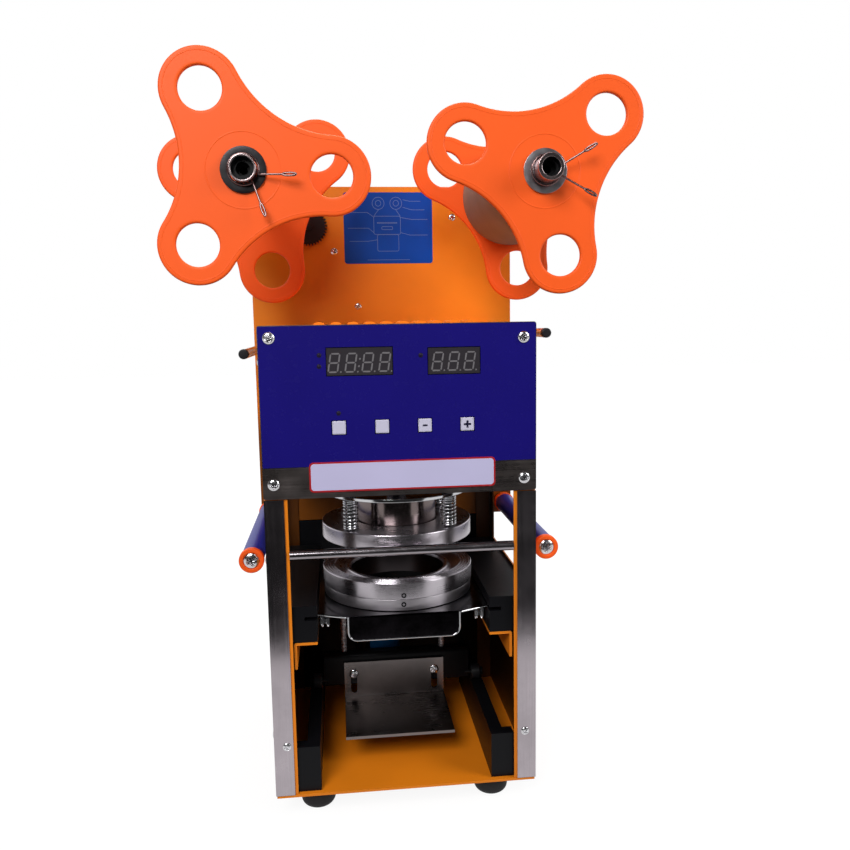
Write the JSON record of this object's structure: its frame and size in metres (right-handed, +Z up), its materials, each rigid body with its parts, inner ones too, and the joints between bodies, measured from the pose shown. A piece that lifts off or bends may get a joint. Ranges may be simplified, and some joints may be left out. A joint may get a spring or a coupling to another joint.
{
  "type": "cup sealing machine",
  "caption": "Upright cup sealer: sheet-metal body with a control panel, sprung hot press over a sliding mould tray, and a tall back plate with lobed film reels, rods and rollers.",
  "frame": {"origin": "middle of the machine's outline seen from above, at the level of the feet's lower faces", "axes": "+Z up; the control panel and the mould tray face -Y; +X is the operator's right as they face the machine"},
  "size_m": [0.3946, 0.3096, 0.6131],
  "materials": {
    "orange_paint": "amber-orange paint, lightly textured satin, on folded steel sheet",
    "orange_plastic": "bright orange moulded plastic, half gloss",
    "brushed_stainless": "brushed stainless sheet",
    "bright_steel": "polished bright steel",
    "turned_aluminium": "turned aluminium, fine concentric tool marks",
    "dark_steel": "dull dark steel",
    "black_paint": "satin black paint",
    "black_plastic": "matt black plastic",
    "blue_film": "printed blue film, glossy, with unlit display windows",
    "blue_roller": "glossy blue tube with orange end caps",
    "white_keys": "pale satin plastic",
    "rubber": "black moulded rubber",
    "board_green": "green circuit board with dark display blocks",
    "core_card": "grey-brown card tube"
  },
  "bodies": {
    "housing": {"base_plate": "orange_paint", "side_panel_left": "orange_paint", "side_panel_right": "orange_paint", "front_strip_left": "brushed_stainless", "front_strip_right": "brushed_stainless", "control_panel": "brushed_stainless", "panel_overlay": "blue_film", "circuit_board": "board_green", "top_cover": "orange_paint", "back_plate": "orange_paint", "rear_cover": "orange_paint", "power_inlet": "black_plastic", "foot_1": "rubber", "foot_2": "rubber", "foot_3": "rubber", "foot_4": "rubber", "crossbar": "bright_steel", "tray_rail_left": "black_paint", "tray_rail_right": "black_paint", "rail_bracket_left": "orange_paint", "rail_bracket_right": "orange_paint", "floor_rail_left": "black_paint", "floor_rail_right": "black_paint", "tray_motor": "bright_steel", "press_bridge": "brushed_stainless", "press_motor": "dark_steel", "film_motor": "bright_steel", "guide_rod_left": "bright_steel", "guide_rod_right": "bright_steel"},
    "key_power": {"key_1": "white_keys"},
    "key_set": {"key_2": "white_keys"},
    "key_less": {"key_3": "white_keys"},
    "key_more": {"key_4": "white_keys"},
    "press_head": {"head_plate": "bright_steel", "heater_block": "turned_aluminium"},
    "press_disc": {"pressing_disc": "turned_aluminium", "press_spring_1": "bright_steel", "press_spring_2": "bright_steel", "press_spring_3": "bright_steel", "press_spring_4": "bright_steel"},
    "tray_carriage": {"tray_plate": "brushed_stainless", "mould_upper_ring": "turned_aluminium", "mould_lower_ring": "turned_aluminium", "cross_plate": "black_paint", "cup_shelf": "dark_steel"},
    "wheel_left": {"carriage_wheel_left": "black_plastic"},
    "wheel_right": {"carriage_wheel_right": "black_plastic"},
    "roller_left": {"film_roller_left": "blue_roller"},
    "roller_right": {"film_roller_right": "blue_roller"},
    "take_up_reel": {"take_up_shaft": "bright_steel", "take_up_front_flange": "orange_plastic", "take_up_rear_flange": "orange_plastic", "take_up_washer": "dark_steel", "take_up_gear": "black_plastic"},
    "film_drive": {"drive_gear": "black_plastic"},
    "supply_reel": {"supply_shaft": "bright_steel", "supply_front_flange": "orange_plastic", "supply_rear_flange": "orange_plastic", "supply_washer": "dark_steel", "supply_core": "core_card"}
  },
  "joints": [
    {"name": "key_power_push", "type": "slide", "parent": "housing", "child": "key_power", "axis": [0, 1, 0], "range_m": [0, 0.0006], "stiffness_N_per_m": 600},
    {"name": "key_set_push", "type": "slide", "parent": "housing", "child": "key_set", "axis": [0, 1, 0], "range_m": [0, 0.0006], "stiffness_N_per_m": 600},
    {"name": "key_less_push", "type": "slide", "parent": "housing", "child": "key_less", "axis": [0, 1, 0], "range_m": [0, 0.0006], "stiffness_N_per_m": 600},
    {"name": "key_more_push", "type": "slide", "parent": "housing", "child": "key_more", "axis": [0, 1, 0], "range_m": [0, 0.0006], "stiffness_N_per_m": 600},
    {"name": "press_head_slide", "type": "slide", "parent": "housing", "child": "press_head", "axis": [0, 0, -1], "range_m": [0, 0.026]},
    {"name": "press_disc_spring", "type": "slide", "parent": "press_head", "child": "press_disc", "axis": [0, 0, 1], "range_m": [0, 0.01], "stiffness_N_per_m": 2000, "springref_m": -0.005, "deforming": ["press_spring_1", "press_spring_2", "press_spring_3", "press_spring_4"]},
    {"name": "tray_slide", "type": "slide", "parent": "housing", "child": "tray_carriage", "axis": [0, -1, 0], "range_m": [0, 0.09]},
    {"name": "wheel_left_roll", "type": "hinge", "parent": "tray_carriage", "child": "wheel_left", "pos_m": [-0.07284, -0.0062, 0.0711], "axis": [1, 0, 0], "continuous": true},
    {"name": "wheel_right_roll", "type": "hinge", "parent": "tray_carriage", "child": "wheel_right", "pos_m": [0.08066, -0.0062, 0.0711], "axis": [1, 0, 0], "continuous": true},
    {"name": "roller_left_spin", "type": "hinge", "parent": "housing", "child": "roller_left", "pos_m": [-0.11979, -0.0187, 0.2217], "axis": [0, 1, 0], "continuous": true},
    {"name": "roller_right_spin", "type": "hinge", "parent": "housing", "child": "roller_right", "pos_m": [0.12761, -0.0187, 0.2217], "axis": [0, 1, 0], "continuous": true},
    {"name": "take_up_spin", "type": "hinge", "parent": "housing", "child": "take_up_reel", "pos_m": [-0.10879, -0.0187, 0.5261], "axis": [0, 1, 0], "continuous": true},
    {"name": "film_drive_spin", "type": "hinge", "parent": "housing", "child": "film_drive", "pos_m": [-0.07001, 0.0753, 0.50996], "axis": [0, 1, 0], "continuous": true},
    {"name": "supply_spin", "type": "hinge", "parent": "housing", "child": "supply_reel", "pos_m": [0.11661, -0.0187, 0.5261], "axis": [0, 1, 0], "continuous": true}
  ],
  "couplings": [
    {"joint": "wheel_left_roll", "follows": "tray_slide", "rad_per_m": 142.86},
    {"joint": "wheel_right_roll", "follows": "tray_slide", "rad_per_m": 142.86},
    {"joint": "film_drive_spin", "follows": "take_up_spin", "ratio": -1.3333}
  ]
}
